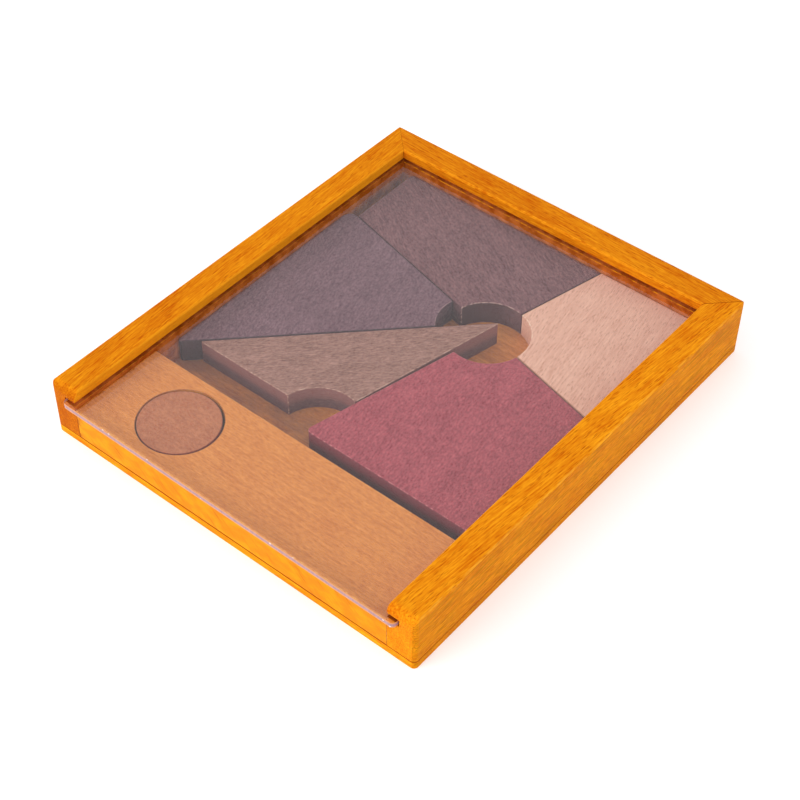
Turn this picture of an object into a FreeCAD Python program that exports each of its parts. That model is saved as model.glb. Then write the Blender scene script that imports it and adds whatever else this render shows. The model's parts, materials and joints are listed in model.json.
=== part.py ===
"""A wooden packing puzzle: a mitred tray with a sliding clear lid, five notched tiles and a spare disc.

Frame: millimetres, +Z up, origin at the centre of the tray's underside, +X to the right along the
front edge and +Y towards the mitred back.  The lid slides out over the front board, along -Y.
"""
import FreeCAD, Part
import math
import os

# ---- Tray -------------------------------------------------------------------------------------
TRAY_WIDTH = 130.4
TRAY_DEPTH = 151.4
TRAY_HEIGHT = 19.5
PANEL_THICKNESS = 3.0
RAIL_WIDTH = 9.2
RAIL_TOP_RADIUS = 0.8        # rounded outer top edge of the rails
RAIL_END_RADIUS = 2.8        # rounded top edge of the rails' open front ends
TRAY_CORNER_RADIUS = 1.5     # rounded upright corners of the tray
INNER_EASE = 0.4             # small flat on the inner top edge
PANEL_EASE = 0.4             # sanded edge of the panel's underside

# ---- Lid and its groove -----------------------------------------------------------------------
LIP_THICKNESS = 3.1          # wood left above the groove
GROOVE_HEIGHT = 2.4
GROOVE_DEPTH = 4.0
LID_THICKNESS = 2.0
LID_SIDE_CLEARANCE = 0.5
LID_OVERHANG = 1.6           # how far the closed lid stands out at the front
LID_CORNER_RADIUS = 1.5

# ---- Front board and the disc stored in it ----------------------------------------------------
BOARD_DEPTH = 31.2
BOARD_THICKNESS = 9.6
BOARD_EASE = 0.3
TILE_THICKNESS = 8.0
RECESS_RADIUS = 12.35
RECESS_CENTRE = (-31.0, -60.2)
DISC_RADIUS = 11.85
DISC_EASE = 0.3
DISC_CENTRE = (-31.12, -60.3)    # the disc lies a little off the middle of its recess

# ---- Tiles ------------------------------------------------------------------------------------
# Four tiles are cut from one rectangle by seams that meet at one point, about which a notch is bored.
SEAM_CENTRE = (11.15, 24.0)
NOTCH_CENTRE = (11.15, 23.7)
NOTCH_RADIUS = 12.8
SEAM_GAP = 0.3               # free play across a seam, and between a tile and a wall
SEAM_LEFT_BACK = 166.3       # seam directions out of the centre, in degrees from +X
SEAM_BACK_RIGHT = 76.2
SEAM_RIGHT_FRONT = 346.25
SEAM_FRONT_WEDGE = 256.35
SEAM_WEDGE_LEFT = 225.0
LEFT_SEAM_MISS = 0.35        # the left tile's long edge passes this far from the centre
FRONT_SEAM_MISS = 0.3        # and the front tile's long edge this far, on the other side
PATTERN_LEFT = -52.0         # edges of the rectangle the four tiles are cut from
PATTERN_FRONT = -39.4
LEFT_TILE_SHIFT = 4.0        # the left tile has slid this far out along its seam, to the wall
WEDGE_TIP = (11.7, 29.75)    # the wedge tile lies between the left and the front tile
WEDGE_RIGHT_ANGLE = 257.4
WEDGE_FRONT = -32.7
WEDGE_NOTCH_CENTRE = (-3.6, -34.7)
WEDGE_TIP_RADIUS = 0.3
LEFT_TILE_CORNER_RADIUS = 3.0
LEFT_TILE_TIP_RADIUS = 0.8
BACK_TILE_CORNER_RADIUS = 1.3
FRONT_TILE_CORNER_RADIUS = 1.5

# ---- Worked out from the above ----------------------------------------------------------------
HALF_WIDTH = TRAY_WIDTH / 2
HALF_DEPTH = TRAY_DEPTH / 2
WALL_X = HALF_WIDTH - RAIL_WIDTH
WALL_BACK_Y = HALF_DEPTH - RAIL_WIDTH
GROOVE_TOP = TRAY_HEIGHT - LIP_THICKNESS
GROOVE_FLOOR = GROOVE_TOP - GROOVE_HEIGHT
BOARD_TOP = PANEL_THICKNESS + BOARD_THICKNESS
BOARD_BACK_Y = -HALF_DEPTH + BOARD_DEPTH
PATTERN_RIGHT = WALL_X - SEAM_GAP / 2
PATTERN_BACK = WALL_BACK_Y - SEAM_GAP / 2
UP = FreeCAD.Vector(0, 0, 1)
LONG = 400.0                 # longer than any part, for cutting planes and seams


def vec(x, y, z=0.0):
    return FreeCAD.Vector(x, y, z)


def direction(degrees):
    angle = math.radians(degrees)
    return vec(math.cos(angle), math.sin(angle))


def offset_point(point, degrees, distance):
    """The point at a distance from point, in a direction in the XY plane."""
    return vec(*point) + direction(degrees) * distance


def crossing(point_a, degrees_a, point_b, degrees_b):
    """Where two lines in the XY plane cross."""
    da = direction(degrees_a)
    db = direction(degrees_b)
    gap = point_b - point_a
    along = (gap.x * db.y - gap.y * db.x) / (da.x * db.y - da.y * db.x)
    return point_a + da * along


def polygon_face(points):
    return Part.Face(Part.makePolygon(list(points) + [points[0]]))


def vertical_edges_at(shape, x, y, within=0.05):
    """The upright edges of a shape that stand at a place in plan."""
    found = []
    for edge in shape.Edges:
        first = edge.Vertexes[0].Point
        last = edge.Vertexes[-1].Point
        upright = abs(first.z - last.z) > 1.0 and math.hypot(first.x - last.x, first.y - last.y) < 1e-6
        if upright and math.hypot(first.x - x, first.y - y) < within:
            found.append(edge)
    return found


# ---- Tray parts -------------------------------------------------------------------------------
def rail_section(place):
    """A rail's cross-section: grooved inside, rounded on the outer top edge.

    place turns (distance in from the outer face, height) into a point of the section's plane.
    """
    r = RAIL_TOP_RADIUS
    mid = r * (1 - math.sqrt(0.5))
    corners = [
        (0, TRAY_HEIGHT - r),
        (0, PANEL_THICKNESS),
        (RAIL_WIDTH, PANEL_THICKNESS),
        (RAIL_WIDTH, GROOVE_FLOOR),
        (RAIL_WIDTH - GROOVE_DEPTH, GROOVE_FLOOR),
        (RAIL_WIDTH - GROOVE_DEPTH, GROOVE_TOP),
        (RAIL_WIDTH, GROOVE_TOP),
        (RAIL_WIDTH, TRAY_HEIGHT - INNER_EASE),
        (RAIL_WIDTH - INNER_EASE, TRAY_HEIGHT),
        (r, TRAY_HEIGHT),
    ]
    points = [place(*corner) for corner in corners]
    edges = [Part.LineSegment(a, b).toShape() for a, b in zip(points, points[1:])]
    edges.append(Part.Arc(points[-1], place(mid, TRAY_HEIGHT - mid), points[0]).toShape())
    return Part.Face(Part.Wire(edges))


def mitre_keep(corner_x, inside):
    """A prism that keeps one side of the mitre plane through a back corner of the tray."""
    corner = vec(corner_x, HALF_DEPTH)
    side = math.copysign(1.0, corner_x)
    inward = vec(-side, -1)
    outward_x = vec(side, -1)
    points = [corner - inward * LONG, corner + inward * LONG]
    far = outward_x * LONG
    if inside:
        far = far * -1
    points += [points[1] + far, points[0] + far]
    return polygon_face(points).extrude(UP * TRAY_HEIGHT)


def tray_envelope():
    """A block of the tray's size, rounded at its upright corners and along its front top edge."""
    block = Part.makeBox(TRAY_WIDTH, TRAY_DEPTH, TRAY_HEIGHT, vec(-HALF_WIDTH, -HALF_DEPTH))
    corners = [edge for edge in block.Edges if edge.BoundBox.ZLength > TRAY_HEIGHT - 1]
    front_top = []
    for edge in block.Edges:
        box = edge.BoundBox
        if box.ZMin > TRAY_HEIGHT - 1 and box.YMax < 1 - HALF_DEPTH:
            front_top.append(edge)
    return block.makeFillet(TRAY_CORNER_RADIUS, corners).common(block.makeFillet(RAIL_END_RADIUS, front_top))


def side_rail(side):
    """A left (side = -1) or right (side = 1) rail, open at the front and mitred at the back."""
    section = rail_section(lambda inset, z: vec(side * (HALF_WIDTH - inset), -HALF_DEPTH, z))
    rail = section.extrude(vec(0, TRAY_DEPTH))
    return rail.common(mitre_keep(side * HALF_WIDTH, inside=False)).common(tray_envelope())


def back_rail():
    section = rail_section(lambda inset, z: vec(-HALF_WIDTH, HALF_DEPTH - inset, z))
    rail = section.extrude(vec(TRAY_WIDTH, 0))
    for corner_x in (-HALF_WIDTH, HALF_WIDTH):
        rail = rail.common(mitre_keep(corner_x, inside=True))
    return rail.common(tray_envelope())


def bottom_panel():
    panel = Part.makeBox(TRAY_WIDTH, TRAY_DEPTH, PANEL_THICKNESS, vec(-HALF_WIDTH, -HALF_DEPTH))
    panel = panel.common(tray_envelope())
    underside = [edge for edge in panel.Edges if edge.BoundBox.ZMax < 1e-6]
    return panel.makeFillet(PANEL_EASE, underside)


def front_board():
    corner = vec(-WALL_X, -HALF_DEPTH, PANEL_THICKNESS)
    board = Part.makeBox(2 * WALL_X, BOARD_DEPTH, BOARD_THICKNESS, corner)
    back_top = []
    for edge in board.Edges:
        box = edge.BoundBox
        if box.ZMin > BOARD_TOP - 0.01 and box.YMin > BOARD_BACK_Y - 0.01:
            back_top.append(edge)
    board = board.makeChamfer(BOARD_EASE, back_top)
    recess_floor = BOARD_TOP - TILE_THICKNESS
    recess = Part.makeCylinder(RECESS_RADIUS, BOARD_THICKNESS, vec(*RECESS_CENTRE, recess_floor), UP)
    return board.cut(recess)


def storage_disc():
    """The spare disc, as thick as the tiles, flush with the top of the front board."""
    base = vec(*DISC_CENTRE, BOARD_TOP - TILE_THICKNESS)
    disc = Part.makeCylinder(DISC_RADIUS, TILE_THICKNESS, base, UP)
    rims = [edge for edge in disc.Edges if isinstance(edge.Curve, Part.Circle)]
    return disc.makeFillet(DISC_EASE, rims)


def clear_lid():
    half = HALF_WIDTH - RAIL_WIDTH + GROOVE_DEPTH - LID_SIDE_CLEARANCE
    front = -HALF_DEPTH - LID_OVERHANG
    back = WALL_BACK_Y + GROOVE_DEPTH - LID_SIDE_CLEARANCE
    lid = Part.makeBox(2 * half, back - front, LID_THICKNESS, vec(-half, front, GROOVE_FLOOR))
    corners = vertical_edges_at(lid, -half, front) + vertical_edges_at(lid, half, front)
    return lid.makeFillet(LID_CORNER_RADIUS, corners)


# ---- Tiles ------------------------------------------------------------------------------------
def tile(points, notch_centre, rounded, shift=vec(0, 0)):
    """A tile: an outline eased back by half a seam gap, extruded, notched and moved into place.

    rounded lists (index of an outline point, radius) for the corners that are rounded off.
    """
    face = polygon_face(points).makeOffset2D(-SEAM_GAP / 2, 2)
    body = face.extrude(UP * TILE_THICKNESS)
    for index, radius in rounded:
        nearest = min(body.Vertexes, key=lambda v: v.Point.distanceToPoint(points[index])).Point
        body = body.makeFillet(radius, vertical_edges_at(body, nearest.x, nearest.y))
    body = body.cut(Part.makeCylinder(NOTCH_RADIUS, TILE_THICKNESS, vec(*notch_centre), UP))
    body.translate(shift + UP * PANEL_THICKNESS)
    return body


def tile_left():
    """Dark tile along the left wall."""
    centre = vec(*SEAM_CENTRE)
    beside = offset_point(SEAM_CENTRE, SEAM_WEDGE_LEFT - 90, LEFT_SEAM_MISS)
    edge = vec(PATTERN_LEFT, 0)
    points = [
        crossing(centre, SEAM_LEFT_BACK, beside, SEAM_WEDGE_LEFT),
        crossing(centre, SEAM_LEFT_BACK, edge, 90),
        crossing(beside, SEAM_WEDGE_LEFT, edge, 90),
    ]
    shift = direction(SEAM_LEFT_BACK) * LEFT_TILE_SHIFT
    rounded = [(1, LEFT_TILE_CORNER_RADIUS), (2, LEFT_TILE_TIP_RADIUS)]
    return tile(points, NOTCH_CENTRE, rounded, shift)


def tile_back():
    """Brown tile in the back left corner."""
    centre = vec(*SEAM_CENTRE)
    points = [
        centre,
        crossing(centre, SEAM_BACK_RIGHT, vec(0, PATTERN_BACK), 0),
        vec(PATTERN_LEFT, PATTERN_BACK),
        crossing(centre, SEAM_LEFT_BACK, vec(PATTERN_LEFT, 0), 90),
    ]
    return tile(points, NOTCH_CENTRE, [(2, BACK_TILE_CORNER_RADIUS)])


def tile_right():
    """Pale tile in the back right corner."""
    centre = vec(*SEAM_CENTRE)
    points = [
        centre,
        crossing(centre, SEAM_RIGHT_FRONT, vec(PATTERN_RIGHT, 0), 90),
        vec(PATTERN_RIGHT, PATTERN_BACK),
        crossing(centre, SEAM_BACK_RIGHT, vec(0, PATTERN_BACK), 0),
    ]
    return tile(points, NOTCH_CENTRE, [])


def tile_front():
    """Red tile at the front right."""
    centre = vec(*SEAM_CENTRE)
    beside = offset_point(SEAM_CENTRE, SEAM_FRONT_WEDGE + 90, FRONT_SEAM_MISS)
    points = [
        crossing(centre, SEAM_RIGHT_FRONT, beside, SEAM_FRONT_WEDGE),
        crossing(beside, SEAM_FRONT_WEDGE, vec(0, PATTERN_FRONT), 0),
        vec(PATTERN_RIGHT, PATTERN_FRONT),
        crossing(centre, SEAM_RIGHT_FRONT, vec(PATTERN_RIGHT, 0), 90),
    ]
    return tile(points, NOTCH_CENTRE, [(1, FRONT_TILE_CORNER_RADIUS)])


def tile_wedge():
    """Taupe wedge between the left and the front tile, notched on its front edge."""
    tip = vec(*WEDGE_TIP)
    front = vec(0, WEDGE_FRONT)
    points = [
        tip,
        crossing(tip, SEAM_WEDGE_LEFT, front, 0),
        crossing(tip, WEDGE_RIGHT_ANGLE, front, 0),
    ]
    return tile(points, WEDGE_NOTCH_CENTRE, [(0, WEDGE_TIP_RADIUS), (1, WEDGE_TIP_RADIUS)])


NODES = {
    "bottom_panel": bottom_panel,
    "left_rail": lambda: side_rail(-1),
    "right_rail": lambda: side_rail(1),
    "back_rail": back_rail,
    "front_board": front_board,
    "storage_disc": storage_disc,
    "clear_lid": clear_lid,
    "tile_left": tile_left,
    "tile_back": tile_back,
    "tile_right": tile_right,
    "tile_front": tile_front,
    "tile_wedge": tile_wedge,
}

os.makedirs("parts", exist_ok=True)
for node, make in NODES.items():
    make().exportStep(f"parts/{node}.step")
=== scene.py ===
"""Looks for the wooden packing puzzle: stained and lacquered beech under a clear acrylic lid.

Metres, in the frame of the CAD model: +Z up, +Y towards the mitred back, the lid opens along -Y.
"""

import json
import math

import bmesh
import bpy
from mathutils import Matrix, Vector
from mathutils.bvhtree import BVHTree


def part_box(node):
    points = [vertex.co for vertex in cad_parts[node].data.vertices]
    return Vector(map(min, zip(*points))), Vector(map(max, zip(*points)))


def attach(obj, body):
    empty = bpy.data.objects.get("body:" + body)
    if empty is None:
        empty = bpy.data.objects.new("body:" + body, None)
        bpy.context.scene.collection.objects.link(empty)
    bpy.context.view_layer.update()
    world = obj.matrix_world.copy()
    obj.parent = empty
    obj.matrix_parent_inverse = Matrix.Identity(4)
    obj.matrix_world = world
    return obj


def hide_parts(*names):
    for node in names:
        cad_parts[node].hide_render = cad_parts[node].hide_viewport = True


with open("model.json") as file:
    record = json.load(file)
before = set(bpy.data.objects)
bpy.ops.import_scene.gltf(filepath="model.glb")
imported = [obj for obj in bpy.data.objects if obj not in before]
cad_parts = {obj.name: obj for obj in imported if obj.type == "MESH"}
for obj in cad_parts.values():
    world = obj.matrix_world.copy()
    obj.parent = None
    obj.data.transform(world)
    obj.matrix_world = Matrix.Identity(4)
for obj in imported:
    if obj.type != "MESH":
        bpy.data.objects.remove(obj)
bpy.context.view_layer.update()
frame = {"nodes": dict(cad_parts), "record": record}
MM = 0.001

# ---- Camera, in the frame's metres and in degrees ----------------------------------------------
CAMERA_PLACE = Vector((0.22486, -0.27782, 0.36212))
CAMERA_AZIMUTH = 39.258
CAMERA_ELEVATION = 45.762
CAMERA_ROLL = 0.498
CAMERA_LENS = 78.67
SENSOR_WIDTH = 36.0

# ---- Light ---------------------------------------------------------------------------------------
ROOM_STRENGTH = 0.83
ROOM_COLOUR = (1.0, 0.985, 1.0, 1.0)
KEY_WATTS = 10.5
FILL_WATTS = 3.0
LAMP_DISTANCE = 1.4
LAMP_SIZE = (1.1, 0.7)
FLOOR_SIZE = 6.0
TABLE_GLOW = 0.33            # the paper lies on a light table

# ---- Eased edges: the width of the small round that sanding leaves, by piece ----------------------
TILE_EASE = 0.22 * MM
RAIL_EASE = 0.30 * MM
JOINT_EASE = 0.26 * MM       # where two glued pieces meet
LID_EASE = 0.15 * MM
SHARP = math.radians(25)     # edges that turn by more are eased
LEVEL = math.radians(0.4)    # faces that turn by less are merged into one
WELD = 0.001 * MM            # corners closer than this are one


# ---- Node trees ----------------------------------------------------------------------------------
class Shader:
    """A material's node tree, written as calls that return output sockets."""

    def __init__(self, name):
        self.material = bpy.data.materials.new(name)
        self.material.use_nodes = True
        self.tree = self.material.node_tree
        self.tree.nodes.clear()
        self.output = self.tree.nodes.new("ShaderNodeOutputMaterial")

    def add(self, kind, inputs=None, output=0, **settings):
        """Makes a node. inputs maps a socket's name or number to a value or to another node's output."""
        node = self.tree.nodes.new("ShaderNode" + kind)
        for key, value in settings.items():
            setattr(node, key, value)
        for key, value in (inputs or {}).items():
            if isinstance(value, bpy.types.NodeSocket):
                self.tree.links.new(value, node.inputs[key])
            else:
                node.inputs[key].default_value = value
        return node.outputs[output]

    def math(self, operation, a, b=0.0, clamp=False):
        return self.add("Math", {0: a, 1: b}, operation=operation, use_clamp=clamp)

    def product(self, first, *others):
        total = first
        for value in others:
            total = self.math("MULTIPLY", total, value)
        return total

    def weighted_sum(self, base, *parts):
        """base plus each value times its weight. parts are pairs of them."""
        total = base
        for value, weight in parts:
            total = self.math("ADD", self.math("MULTIPLY", value, weight), total)
        return total

    def coordinate(self, vector, axis):
        """The x, y or z of a vector."""
        return self.add("SeparateXYZ", {0: vector}, output="xyz".index(axis))

    def attribute(self, name):
        """A value that mark_faces has written."""
        return self.add("Attribute", output=2, attribute_name=name)

    def turned(self, vector, degrees, axis="Z_AXIS"):
        inputs = {"Vector": vector, "Angle": math.radians(degrees)}
        return self.add("VectorRotate", inputs, rotation_type=axis)

    def noise(self, vector, detail=2.0, roughness=0.5):
        """Noise centred on 0, of about +-0.5."""
        inputs = {"Vector": vector, "Scale": 1.0, "Detail": detail, "Roughness": roughness}
        return self.math("SUBTRACT", self.add("TexNoise", inputs), 0.5)

    def cells(self, vector):
        """The distance to the middle of the nearest of scattered cells, about one unit apart."""
        return self.add("TexVoronoi", {"Vector": vector, "Scale": 1.0})

    def stretched(self, vector, along, across, offset=0.0):
        """Coordinates in which one unit is a length along the grain and another across it."""
        scaled = self.add(
            "VectorMath", {0: vector, 1: (1 / along, 1 / across, 1 / across)}, operation="MULTIPLY"
        )
        return self.add("VectorMath", {0: scaled, 1: (offset, offset, offset)}, operation="ADD")

    def ramp(self, value, low, high):
        """0 below low, 1 above high, smooth between. low may be the greater."""
        inputs = {"Value": value, "From Min": low, "From Max": high}
        return self.add("MapRange", inputs, interpolation_type="SMOOTHSTEP", clamp=True)

    def upright(self, normal):
        """1 on faces that stand, 0 on those that lie."""
        return self.ramp(self.math("ABSOLUTE", self.coordinate(normal, "z")), 0.75, 0.35)

    def mix(self, factor, a, b, blend="MIX"):
        """Colour a where factor is 0 and b where it is 1: a Mix node's colours are its sockets 6 and 7."""
        return self.add("Mix", {0: factor, 6: a, 7: b}, 2, data_type="RGBA", blend_type=blend)

    def surface(self, socket):
        self.tree.links.new(socket, self.output.inputs["Surface"])
        return self.material


def rgb(red, green, blue):
    """A colour from 0-255 display values, as the linear colour that shaders use."""
    linear = [((c / 255 + 0.055) / 1.055) ** 2.4 if c > 10 else c / 255 / 12.92 for c in (red, green, blue)]
    return (*linear, 1.0)


# ---- Wood ----------------------------------------------------------------------------------------
def grain_place(s, turned, seed):
    """Coordinates along the grain, which wanders a little from side to side."""
    wander = s.noise(s.stretched(turned, 40 * MM, 12 * MM, seed), detail=1.0)
    sideways = s.add("CombineXYZ", {"Y": s.product(wander, 1.6 * MM)})
    return s.add("VectorMath", {0: turned, 1: sideways}, operation="ADD")


def end_grain(s, normal, angle):
    """1 on faces that cut across grain of that direction, 0 on those along it."""
    along = (math.cos(math.radians(angle)), math.sin(math.radians(angle)), 0.0)
    facing = s.add("VectorMath", {0: normal, 1: along}, 1, operation="DOT_PRODUCT")
    return s.ramp(s.math("ABSOLUTE", facing), 0.3, 0.95)


def wood(
    name, angle, deep, pale, fleck, rim,
    bands=0.5, streaks=(7 * MM, 0.6 * MM, 1.0), specks=(0.8 * MM, 0.45 * MM, 1.0),
    dashes=(1.6 * MM, 0.6 * MM, 0.3), crowd=0.0, stain=0.5, side=0.3, end=0.3,
    roughness=0.55, specular=0.2, tint=(1.0, 1.0, 1.0, 1.0), relief=0.03 * MM, seed=0.0,
    joint=None, overlay=None,
):
    """Stained beech: growth bands, streaks and specks of grain, ray flecks, blotches, worn edges and
    painted shade.

    angle is the grain's direction in degrees from +X. deep and pale are the ends of the tone range, fleck
    the colour of dark marks and rim that of the rounded edges: worn stain, with a painted highlight on the
    tiles and the board and painted shade on the disc. Marks are given as (length, width, strength).
    bands and stain are the strengths of the growth bands and the blotches, crowd is how widespread the
    dashes are, and relief the depth of the grain. side paints shade on upright faces, end darkens those
    that cut across the grain. joint is the colour of the line where it meets another piece, if not the
    glue's.
    overlay(shader, colour, place, normal) adds what only one piece has.
    """
    s = Shader(name)
    place = s.add("TexCoord", output=3)
    normal = s.add("TexCoord", output=1)
    turned = s.turned(place, -angle)
    grain = grain_place(s, turned, seed)

    band = s.noise(s.stretched(grain, 60 * MM, 4 * MM, seed + 3.1), detail=3.0, roughness=0.6)
    streak = s.noise(s.stretched(grain, *streaks[:2], seed + 7.7), detail=2.0, roughness=0.6)
    speck = s.noise(s.stretched(grain, *specks[:2], seed + 1.3), detail=1.0, roughness=0.6)
    blotch = s.noise(s.stretched(turned, 11 * MM, 8 * MM, seed + 5.9), detail=4.0, roughness=0.6)
    tone = s.weighted_sum(0.5, (band, bands), (streak, streaks[2]), (speck, specks[2]), (blotch, stain))
    colour = s.mix(s.math("ADD", tone, 0.0, clamp=True), deep, pale)

    cells = s.cells(s.stretched(grain, *dashes[:2], seed + 2.2))
    crowded = s.ramp(s.noise(s.stretched(grain, 6 * MM, 3 * MM, seed + 9.4)), -0.2 - crowd, 0.1 - crowd)
    dash = s.product(s.ramp(cells, 0.36, 0.14), crowded)
    colour = s.mix(s.product(dash, dashes[2]), colour, fleck)

    # side paints shade on upright faces; end darkens end grain, which soaks up more stain.
    cut = s.product(end_grain(s, normal, angle), s.math("ADD", speck, 0.5))
    shade = s.weighted_sum(0.0, (s.upright(normal), side), (cut, 2 * end))
    colour = s.mix(s.math("ADD", shade, 0.0, clamp=True), colour, s.mix(1.0, colour, fleck, "MULTIPLY"))
    if overlay:
        colour = overlay(s, colour, place, normal)

    # The rounded edges: worn stain, with a painted highlight on the tiles and the board and painted shade
    # on the disc.
    ragged = s.ramp(s.noise(s.stretched(turned, 1.6 * MM, 0.9 * MM, seed), detail=3.0), -0.12, 0.14)
    colour = s.mix(s.product(s.attribute("rim"), ragged), colour, rim)
    colour = s.mix(s.attribute("seam"), colour, joint or GLUE_COLOUR)

    sheen = s.weighted_sum(roughness, (streak, 0.12), (blotch, 0.12), (dash, 0.12))
    height = s.weighted_sum(0.0, (streak, 0.8), (speck, 0.7), (dash, -0.8))
    bump = s.add("Bump", {"Strength": 0.7, "Distance": relief, "Height": height})
    return s.surface(s.add("BsdfPrincipled", {
        "Base Color": colour, "Roughness": sheen, "Normal": bump,
        "Specular IOR Level": specular, "Specular Tint": tint,
    }))


# ---- Marks on single pieces ----------------------------------------------------------------------
# The groove colours paint shade over bare wood inside the grooves; the roof above the lid is redder.
GROOVE_SHADE_DEEP = rgb(150, 66, 24)
GROOVE_BARE_SHADED = rgb(204, 114, 56)
GROOVE_ROOF = rgb(255, 84, 10)
LIP_COLOUR = rgb(250, 166, 32)
# The next colour paints shade over the outer sides, and darker stain lines along their grain.
SIDE_SHADE_AND_STAIN = rgb(178, 112, 8)
SIDE_SCORES = rgb(150, 74, 4)
SIDE_GRAIN = 88              # degrees from +X, along the side rails
# Wear and a painted highlight on the upward rounded outer edges.
WORN_EDGE_AND_HIGHLIGHT = rgb(250, 178, 60)
# Painted shade on the panel in the gap in front of the tiles, and how far from the board it reaches.
PANEL_GAP_SHADE = rgb(112, 78, 82)
GAP_SHADE_REACH = 20 * MM         # from the board
LACQUER_DEEP = rgb(222, 132, 7)
LACQUER_PALE = rgb(231, 152, 5)
SAW_MARKS = rgb(180, 84, 6)
SAW_SLANT = 45               # degrees from upright
GLUE_SMEAR = rgb(150, 62, 24)
GLUE_REACH = 2.0 * MM        # from the joint


def tray_marks(s, colour, place, normal):
    """Painted shade over bare wood in the grooves and pale lips; on the outer sides stain lines, scores,
    painted shade, and worn top edges with a painted highlight.
    """
    # Painted shade, in patches, on the faces inside the grooves and on the walls below the lid; redder on
    # the roof above the lid.
    patchy_shade = s.ramp(s.noise(s.stretched(place, 3 * MM, 3 * MM), detail=3.0), -0.2, 0.2)
    roof = s.ramp(s.coordinate(place, "z"), LID_TOP - 0.3 * MM, LID_TOP + 0.1 * MM)
    groove = s.mix(roof, s.mix(patchy_shade, GROOVE_SHADE_DEEP, GROOVE_BARE_SHADED), GROOVE_ROOF)
    colour = s.mix(s.product(s.attribute("groove"), 0.9), colour, groove)
    colour = s.mix(s.product(s.attribute("lip"), 0.5), colour, LIP_COLOUR)

    outside = s.attribute("outside")
    tilt = s.coordinate(normal, "z")
    flat = s.product(outside, s.ramp(tilt, 0.5, 0.1))
    grain = s.turned(place, -SIDE_GRAIN)
    line = s.ramp(s.noise(s.stretched(grain, 14 * MM, 0.6 * MM), detail=3.0, roughness=0.7), -0.1, 0.25)
    # Painted shade over the whole outer side, with darker stain lines along the grain on top of it.
    colour = s.mix(s.product(flat, s.weighted_sum(0.27, (line, 0.75))), colour, SIDE_SHADE_AND_STAIN)
    score = s.ramp(s.noise(s.stretched(grain, 8 * MM, 0.4 * MM, 5.0)), 0.08, 0.2)
    colour = s.mix(s.product(score, flat, 0.45), colour, SIDE_SCORES)
    # Upward rounded outer edges made paler: wear with a painted highlight.
    edge = s.product(s.ramp(tilt, 0.15, 0.4), s.ramp(tilt, 0.95, 0.8), outside)
    ragged = s.ramp(s.noise(s.stretched(place, 1.5 * MM, 5 * MM), detail=3.0), -0.15, 0.1)
    return s.mix(s.product(edge, ragged, 0.45), colour, WORN_EDGE_AND_HIGHLIGHT)


def panel_shade_overlay(s, colour, place, normal):
    """Painted shade on the panel in front of the tiles, along the board, in patches."""
    from_board = s.math("SUBTRACT", s.coordinate(place, "y"), BOARD_BACK)
    patchy = s.ramp(s.noise(s.stretched(place, 9 * MM, 5 * MM), detail=3.0), -0.3, 0.2)
    gap_shade = s.product(s.ramp(from_board, GAP_SHADE_REACH, GAP_SHADE_REACH / 2), patchy)
    return s.mix(s.product(gap_shade, 0.5), colour, PANEL_GAP_SHADE)


def board_marks(s, colour, place, normal):
    """Golden lacquer and slanting saw marks on the board's front, and glue out along its left joint."""
    front = s.ramp(s.coordinate(normal, "y"), -0.5, -0.9)
    cloud = s.ramp(s.noise(s.stretched(place, 5 * MM, 2.5 * MM), detail=4.0, roughness=0.6), -0.12, 0.16)
    colour = s.mix(s.product(front, 0.92), colour, s.mix(cloud, LACQUER_DEEP, LACQUER_PALE))
    slanted = s.turned(place, -SAW_SLANT, "Y_AXIS")
    saw = s.ramp(s.noise(s.stretched(slanted, 9 * MM, 0.55 * MM)), 0.1, 0.2)
    colour = s.mix(s.product(saw, front, 0.55), colour, SAW_MARKS)

    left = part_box("front_board")[0].x
    smear = s.ramp(s.noise(s.stretched(place, 2.2 * MM, 2.2 * MM), detail=3.0), 0.0, 0.1)
    glue = s.product(smear, s.ramp(s.coordinate(place, "x"), left + GLUE_REACH, left))
    return s.mix(s.product(glue, 0.6), colour, GLUE_SMEAR)


def side_painted_shade(upper, lower):
    """An overlay that paints shade on a tile's sides: lighter along the top and darker below."""
    low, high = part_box("tile_wedge")
    middle = (low.z + high.z) / 2

    def overlay(s, colour, place, normal):
        # Painted shade, darker towards the bottom of the side.
        toward_bottom = s.ramp(s.coordinate(place, "z"), middle + 1.5 * MM, middle - 1.5 * MM)
        return s.mix(s.product(s.upright(normal), 0.5), colour, s.mix(toward_bottom, upper, lower))

    return overlay


# ---- Meshes --------------------------------------------------------------------------------------
def is_sharp(edge):
    return len(edge.link_faces) == 2 and edge.calc_face_angle() > SHARP


def weigh_edges(mesh, ease_of):
    """Merges the facets of flat faces and gives each sharp edge its share of the widest ease, returned."""
    shape = bmesh.new()
    shape.from_mesh(mesh)
    bmesh.ops.remove_doubles(shape, verts=shape.verts, dist=WELD)
    bmesh.ops.dissolve_limit(shape, angle_limit=LEVEL, verts=shape.verts, edges=shape.edges)
    for face in shape.faces:
        face.material_index = 0
    weights = shape.edges.layers.float.new("bevel_weight_edge")
    widths = {e: ease_of((e.verts[0].co + e.verts[1].co) / 2) for e in shape.edges if is_sharp(e)}
    widest = max(widths.values())
    for edge, width in widths.items():
        edge[weights] = width / widest
    shape.to_mesh(mesh)
    shape.free()
    return widest


def round_edges(piece, widest, segments):
    """Rounds the weighted edges into the second material slot, with normals that keep the faces flat."""
    bevel = piece.modifiers.new("ease", "BEVEL")
    bevel.width = widest
    bevel.segments = segments
    bevel.limit_method = "WEIGHT"
    bevel.material = 1
    bevel.use_clamp_overlap = True
    bevel.face_strength_mode = "FSTR_ALL"
    normals = piece.modifiers.new("normals", "WEIGHTED_NORMAL")
    normals.mode = "FACE_AREA"
    normals.use_face_influence = True
    bake_modifiers(piece)


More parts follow.
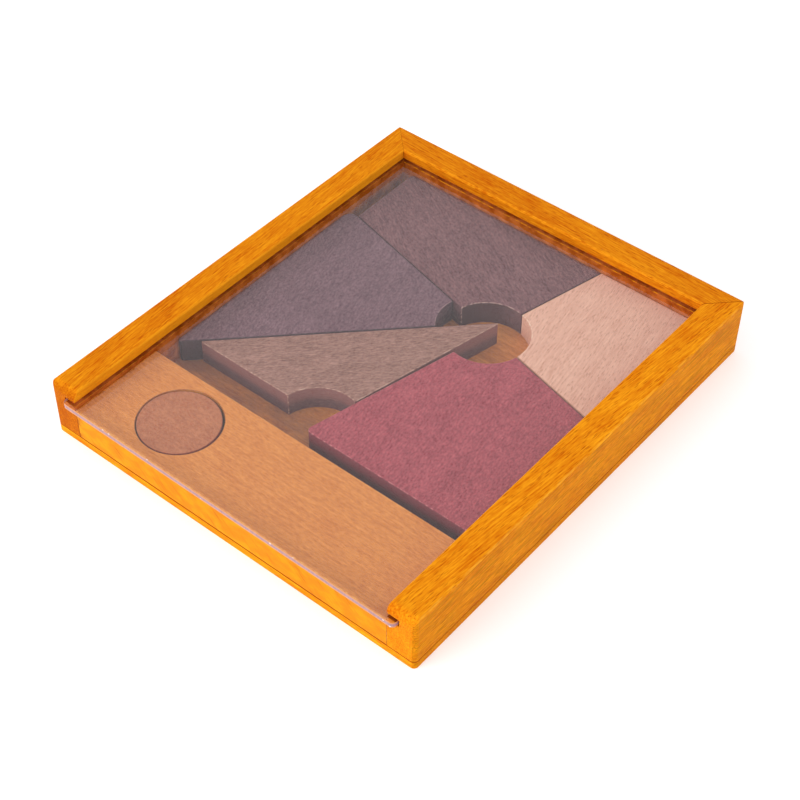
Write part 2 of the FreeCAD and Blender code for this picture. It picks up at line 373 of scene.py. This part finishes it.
def eased_copy(node, name, ease_of, material, body, segments=3, seam_of=None):
    """A copy of a CAD solid with its sharp edges rounded, standing for that node.

    ease_of(middle of an edge) gives the width to take off there, in metres. The rounds' faces are marked
    in the attribute rim, or, as strongly as seam_of(middle of a face) says, in the attribute seam.
    """
    mesh = frame["nodes"][node].data.copy()
    mesh.name = name
    mesh.materials.clear()
    mesh.materials.append(material)
    mesh.materials.append(material)
    widest = weigh_edges(mesh, ease_of)
    piece = bpy.data.objects.new(name, mesh)
    bpy.context.scene.collection.objects.link(piece)
    round_edges(piece, widest, segments)
    mark_edges(piece, material, seam_of)
    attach(piece, body)
    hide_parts(node)
    return piece


def bake_modifiers(piece):
    """Puts the modifiers' result into the mesh, smooth shaded."""
    for polygon in piece.data.polygons:
        polygon.use_smooth = True
    graph = bpy.context.evaluated_depsgraph_get()
    evaluated = piece.evaluated_get(graph)
    mesh = bpy.data.meshes.new_from_object(evaluated, preserve_all_data_layers=True, depsgraph=graph)
    piece.modifiers.clear()
    piece.data = mesh


def mark_faces(piece, attribute, strength_of):
    """Writes strength_of(polygon) into a face attribute."""
    values = piece.data.attributes.new(attribute, "FLOAT", "FACE")
    for polygon in piece.data.polygons:
        values.data[polygon.index].value = strength_of(polygon)


def mark_edges(piece, material, seam_of):
    """Turns the second material slot, which holds the rounds, into the attributes rim and seam."""
    def seam(polygon):
        return seam_of(polygon.center) if seam_of and polygon.material_index == 1 else 0.0

    mark_faces(piece, "seam", seam)
    mark_faces(piece, "rim", lambda polygon: float(polygon.material_index == 1))
    for polygon in piece.data.polygons:
        polygon.material_index = 0
    piece.data.materials.clear()
    piece.data.materials.append(material)


# ---- Materials -----------------------------------------------------------------------------------
LID_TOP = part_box("clear_lid")[1].z
LACQUER_TINT = (1.0, 0.6, 0.2, 1.0)
FROST_DULL = rgb(164, 124, 144)
FROST_PALE = rgb(204, 160, 178)
# Painted highlight and the painted orange of the wood seen through, towards the edge's faces.
EDGE_PAINTED_HIGHLIGHT = rgb(240, 162, 84)
EDGE_CHIPS = rgb(255, 240, 236)
GLUE_COLOUR = rgb(132, 40, 3)
TRAY_FLECK = rgb(158, 60, 6)
TRAY_RIM = rgb(240, 152, 26)
TRAY_WOODS = {
    # node: grain direction, deep, pale, crowd of the dashes, end, seed
    "left_rail": (93, rgb(198, 92, 5), rgb(244, 158, 24), -0.04, 0.5, 11.0),
    "right_rail": (85, rgb(206, 100, 6), rgb(252, 166, 26), 0.05, 0.1, 23.0),
    "back_rail": (-3, rgb(196, 90, 5), rgb(242, 154, 24), 0.0, 0.1, 37.0),
    "bottom_panel": (0, rgb(206, 100, 6), rgb(252, 172, 26), -0.06, 0.1, 51.0),
}


def tray_wood(node):
    angle, deep, pale, crowd, end, seed = TRAY_WOODS[node]
    return wood(
        "beech_" + node, angle, deep, pale, TRAY_FLECK, TRAY_RIM, bands=0.8,
        streaks=(13 * MM, 0.45 * MM, 1.6), specks=(2.2 * MM, 0.45 * MM, 0.8),
        dashes=(4.0 * MM, 0.4 * MM, 0.65), crowd=crowd, stain=0.8, side=0.0, end=end, roughness=0.4,
        specular=0.01, tint=LACQUER_TINT, seed=seed, overlay=tray_marks,
    )


def panel_top_wood():
    return wood(
        "beech_panel_top", 0, rgb(188, 106, 50), rgb(236, 158, 80), rgb(140, 76, 40), rgb(200, 150, 100),
        bands=0.8, streaks=(8 * MM, 0.8 * MM, 1.2), specks=(1.6 * MM, 0.8 * MM, 0.8), stain=1.2,
        specular=0.05, seed=51.0, overlay=panel_shade_overlay,
    )


def board_wood():
    # The rim colour paints a highlight on the board's rounded edges, with wear; side paints shade on its
    # upright faces, in the recess and at the back.
    return wood(
        "board_beech", 0.0, rgb(204, 114, 48), rgb(248, 166, 86), rgb(188, 84, 36), rgb(250, 190, 108),
        bands=0.3, streaks=(9 * MM, 0.6 * MM, 0.8), specks=(1.6 * MM, 0.6 * MM, 0.8),
        dashes=(2.0 * MM, 0.5 * MM, 0.4), stain=0.2, side=0.35, end=0.0, roughness=0.45,
        specular=0.04, tint=LACQUER_TINT, seed=4.0, overlay=board_marks,
    )


def acrylic():
    """Clear sheet that mirrors the room, and lets light from lamps and from below straight through."""
    s = Shader("clear_acrylic")
    place = s.add("TexCoord", output=3)
    smear = s.ramp(s.noise(s.stretched(place, 30 * MM, 18 * MM), detail=4.0), -0.1, 0.35)
    glass = s.add("BsdfPrincipled", {
        "Base Color": (0.985, 0.985, 0.99, 1.0),
        "Roughness": s.product(smear, 0.01),
        "IOR": 1.49, "Transmission Weight": 1.0,
    })
    through = s.add("BsdfTransparent", {"Color": (0.92, 0.92, 0.92, 1.0)})
    lamps = s.add("MixShader", {0: s.add("LightPath", output=1), 1: glass, 2: through})
    return s.surface(s.add("MixShader", {0: s.add("LightPath", output=2), 1: lamps, 2: through}))


def acrylic_edge():
    """The sheet's sawn edge: milky halfway up and, towards the faces, a painted highlight with the orange
    of the wood seen through, with fine marks and specks.
    """
    s = Shader("acrylic_edge")
    place = s.add("TexCoord", output=3)
    low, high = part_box("clear_lid")
    off_middle = s.math("SUBTRACT", s.coordinate(place, "z"), (low.z + high.z) / 2)
    off_middle = s.math("ABSOLUTE", off_middle)
    milky = s.ramp(off_middle, 0.8 * MM, 0.2 * MM)
    marks = s.noise(s.stretched(place, 0.6 * MM, 4 * MM), detail=3.0, roughness=0.7)
    frosted = s.mix(s.ramp(marks, -0.3, 0.3), FROST_DULL, FROST_PALE)
    # Towards the faces the edge is painted orange: a painted highlight along the arrises and the wood seen
    # through the sheet.
    colour = s.mix(milky, EDGE_PAINTED_HIGHLIGHT, frosted)
    chips = s.cells(s.stretched(place, 2.6 * MM, 2.6 * MM))
    colour = s.mix(s.ramp(chips, 0.16, 0.08), colour, EDGE_CHIPS)
    bump = s.add("Bump", {"Strength": 0.6, "Distance": 0.03 * MM, "Height": marks})
    return s.surface(s.add("BsdfPrincipled", {
        "Base Color": colour, "Roughness": s.weighted_sum(0.35, (marks, 0.2)),
        "Normal": bump, "IOR": 1.49, "Transmission Weight": 0.3,
    }))


def floor_paper():
    s = Shader("floor_paper")
    place = s.add("TexCoord", output=3)
    tooth = s.noise(s.stretched(place, 1.5 * MM, 1.5 * MM), detail=3.0)
    bump = s.add("Bump", {"Strength": 0.05, "Distance": 0.05 * MM, "Height": tooth})
    return s.surface(s.add("BsdfPrincipled", {
        "Base Color": (0.88, 0.88, 0.88, 1.0), "Roughness": 0.9, "Normal": bump,
        "Specular IOR Level": 0.1, "Emission Color": (1.0, 1.0, 1.0, 1.0), "Emission Strength": TABLE_GLOW,
    }))


# ---- Pieces --------------------------------------------------------------------------------------
TRAY_WALL = Vector((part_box("right_rail")[0].x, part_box("back_rail")[0].y, 0))
PANEL_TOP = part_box("bottom_panel")[1].z
BOARD_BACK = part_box("front_board")[1].y
LID_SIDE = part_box("clear_lid")[1].x
LID_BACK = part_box("clear_lid")[1].y
GROOVE_PLAY = 0.6 * MM       # a little more than the lid's play in its groove
RECESS = (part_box("storage_disc")[0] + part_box("storage_disc")[1]) / 2
RECESS_REACH = 14 * MM       # a little more than the recess's radius


def near(value, target, within=0.3 * MM):
    return abs(value - target) < within


def tray_seam(point):
    """How dark the lines of the tray are: 1 at the board's left end, least at the left mitre."""
    if point.y < BOARD_BACK and near(abs(point.x), TRAY_WALL.x) and point.z < LID_TOP - 1 * MM:
        return 1.0 if point.x < 0 else 0.55
    if near(point.z, PANEL_TOP):
        return 0.9
    # The rim of the disc's recess is darkened too: painted shade from the gap round the disc, not a joint.
    if (point.xy - RECESS.xy).length < RECESS_REACH:
        return 0.6
    if near(abs(point.x) - TRAY_WALL.x, point.y - TRAY_WALL.y):
        return 0.8 if point.x > 0 else 0.2
    return 0.0


def tray_ease(point):
    return JOINT_EASE if tray_seam(point) else RAIL_EASE


def looks_in(polygon):
    """Whether a rail's face is one of the groove's or of the wall's, which look into the tray."""
    place = polygon.center
    beside = abs(place.x) < LID_SIDE + GROOVE_PLAY and abs(polygon.normal.y) < 0.5 and place.y < TRAY_WALL.y
    behind = near(place.y, (TRAY_WALL.y + LID_BACK) / 2, 4 * MM) and abs(polygon.normal.x) < 0.5
    return beside or behind


def in_groove(polygon):
    return float(looks_in(polygon) and PANEL_TOP < polygon.center.z < LID_TOP + GROOVE_PLAY)


def on_lip(polygon):
    over = polygon.center.z > LID_TOP + GROOVE_PLAY and abs(polygon.normal.z) < 0.8
    return float(over and looks_in(polygon) and abs(polygon.normal.x) > 0.5)


def on_outside(polygon):
    return float(not looks_in(polygon) and abs(polygon.normal.x) > 0.3)


def make_tray():
    for node in TRAY_WOODS:
        piece = eased_copy(
            node, node + "_eased", tray_ease, tray_wood(node), "tray", seam_of=tray_seam
        )
        mark_faces(piece, "groove", in_groove)
        mark_faces(piece, "lip", on_lip)
        mark_faces(piece, "outside", on_outside)
    panel = bpy.data.objects["bottom_panel_eased"]
    panel.data.materials.append(panel_top_wood())
    for polygon in panel.data.polygons:
        if polygon.normal.z > 0.9:
            polygon.material_index = 1
    eased_copy(
        "front_board", "front_board_eased", tray_ease, board_wood(), "tray",
        seam_of=tray_seam,
    )


TILES = {
    # node: grain direction, deep, pale, fleck, rim (worn stain with a painted highlight)
    "tile_left": (104, rgb(94, 62, 72), rgb(146, 112, 119), rgb(62, 42, 52), rgb(170, 138, 138)),
    "tile_back": (152, rgb(94, 55, 60), rgb(148, 105, 106), rgb(96, 54, 64), rgb(190, 158, 148)),
    "tile_right": (99.5, rgb(222, 162, 136), rgb(252, 202, 176), rgb(176, 108, 82), rgb(255, 226, 200)),
    "tile_front": (98.5, rgb(144, 54, 66), rgb(200, 98, 107), rgb(100, 38, 50), rgb(206, 126, 128)),
    "tile_wedge": (50, rgb(126, 86, 74), rgb(188, 142, 126), rgb(104, 60, 68), rgb(206, 168, 148)),
}
TILE_REACH = 0.6 * MM        # tiles closer than this are taken to touch
TILE_SEAM = 0.8              # how dark the line between two of them is
# The overlays on the front tile and the wedge paint shade on their sides, darker towards the bottom.
TILE_GRAIN = {
    "tile_left": {"streaks": (3.2 * MM, 0.6 * MM, 1.0), "specks": (0.8 * MM, 0.55 * MM, 1.5)},
    "tile_back": {"streaks": (3.2 * MM, 0.55 * MM, 1.4), "specks": (0.9 * MM, 0.55 * MM, 1.6)},
    "tile_right": {
        "streaks": (9 * MM, 0.6 * MM, 1.4), "specks": (1.4 * MM, 0.5 * MM, 0.6),
        "dashes": (2.6 * MM, 0.45 * MM, 0.5), "crowd": 0.1, "side": 0.05, "end": 0.0,
    },
    "tile_front": {
        "streaks": (2.8 * MM, 0.6 * MM, 1.2), "specks": (0.8 * MM, 0.55 * MM, 1.5),
        "overlay": side_painted_shade(rgb(172, 80, 96), rgb(92, 62, 74)),
    },
    "tile_wedge": {
        "streaks": (2.6 * MM, 0.5 * MM, 1.4), "specks": (0.9 * MM, 0.5 * MM, 1.1),
        "overlay": side_painted_shade(rgb(166, 108, 106), rgb(100, 74, 90)),
    },
}


def against_others(node):
    """How dark a point of this tile is for lying against another tile, as a function of the point."""
    trees = []
    for other in TILES:
        if other != node:
            mesh = frame["nodes"][other].data
            corners = [vertex.co for vertex in mesh.vertices]
            trees.append(BVHTree.FromPolygons(corners, [tuple(p.vertices) for p in mesh.polygons]))

    def seam(point):
        return TILE_SEAM * any(tree.find_nearest(point, TILE_REACH)[0] is not None for tree in trees)

    return seam


def make_tiles():
    for number, (node, (angle, deep, pale, fleck, rim)) in enumerate(TILES.items()):
        slot = next(p["material_slot"] for p in frame["record"]["subparts"] if p["node"] == node)
        material = wood(
            slot, angle, deep, pale, fleck, rim, bands=0.35, stain=0.6,
            roughness=0.6, specular=0.08, seed=60.0 + 13 * number, joint=fleck, **TILE_GRAIN[node],
        )
        body = node.replace("tile_", "") + "_tile"
        seam_of = against_others(node)
        eased_copy(node, node + "_eased", lambda point: TILE_EASE, material, body, seam_of=seam_of)


def make_disc():
    # The dark rim colour and the strong side darkening paint the shade in the gap round the disc.
    material = wood(
        "disc_tan", 171, rgb(170, 96, 62), rgb(212, 138, 96), rgb(190, 60, 38), rgb(128, 52, 42),
        bands=0.3, streaks=(3 * MM, 1.0 * MM, 0.7), specks=(1.0 * MM, 0.7 * MM, 1.0), stain=0.5,
        side=0.6, end=0.0, roughness=0.5, specular=0.06, seed=140.0,
    )
    eased_copy("storage_disc", "storage_disc_eased", lambda point: TILE_EASE, material, "disc")


def make_lid():
    lid = eased_copy(
        "clear_lid", "clear_lid_sheet", lambda point: LID_EASE, acrylic(), "lid",
        segments=2,
    )
    lid.data.materials.append(acrylic_edge())
    for polygon in lid.data.polygons:
        if abs(polygon.normal.z) < 0.9:
            polygon.material_index = 1


def make_floor():
    bpy.ops.mesh.primitive_plane_add(size=FLOOR_SIZE, location=(0, 0, 0))
    floor = bpy.context.object
    floor.name = "floor"
    floor.data.materials.append(floor_paper())


# ---- Camera and light ----------------------------------------------------------------------------
def make_camera():
    data = bpy.data.cameras.new("camera")
    data.lens = CAMERA_LENS
    data.sensor_width = SENSOR_WIDTH
    camera = bpy.data.objects.new("camera", data)
    bpy.context.scene.collection.objects.link(camera)
    turn = Matrix.Rotation(math.radians(CAMERA_AZIMUTH), 4, "Z")
    tilt = Matrix.Rotation(math.radians(90 - CAMERA_ELEVATION), 4, "X")
    roll = Matrix.Rotation(math.radians(CAMERA_ROLL), 4, "Z")
    camera.matrix_world = Matrix.Translation(CAMERA_PLACE) @ turn @ tilt @ roll
    bpy.context.scene.camera = camera


def area_light(name, azimuth, elevation, watts):
    """A soft box round the object: azimuth 0 is in front, 90 on the right."""
    light = bpy.data.lights.new(name, "AREA")
    light.shape = "RECTANGLE"
    light.size, light.size_y = LAMP_SIZE
    light.energy = watts
    lamp = bpy.data.objects.new(name, light)
    a = math.radians(azimuth)
    e = math.radians(elevation)
    direction = Vector((math.sin(a) * math.cos(e), -math.cos(a) * math.cos(e), math.sin(e)))
    lamp.location = direction * LAMP_DISTANCE
    lamp.rotation_euler = direction.to_track_quat("Z", "Y").to_euler()
    # Otherwise the lid mirrors the box as a white sheet in low views. A clear shader's gloss counts as
    # transmission, so both are off.
    lamp.visible_glossy = False
    lamp.visible_transmission = False
    bpy.context.scene.collection.objects.link(lamp)


def make_light():
    world = bpy.data.worlds.new("room")
    world.use_nodes = True
    background = world.node_tree.nodes["Background"]
    background.inputs["Color"].default_value = ROOM_COLOUR
    background.inputs["Strength"].default_value = ROOM_STRENGTH
    bpy.context.scene.world = world
    area_light("key", -25, 26, KEY_WATTS)
    area_light("fill", 80, 15, FILL_WATTS)


make_camera()
make_light()
make_floor()
make_tray()
make_tiles()
make_disc()
make_lid()
bpy.context.scene.view_settings.view_transform = "Standard"
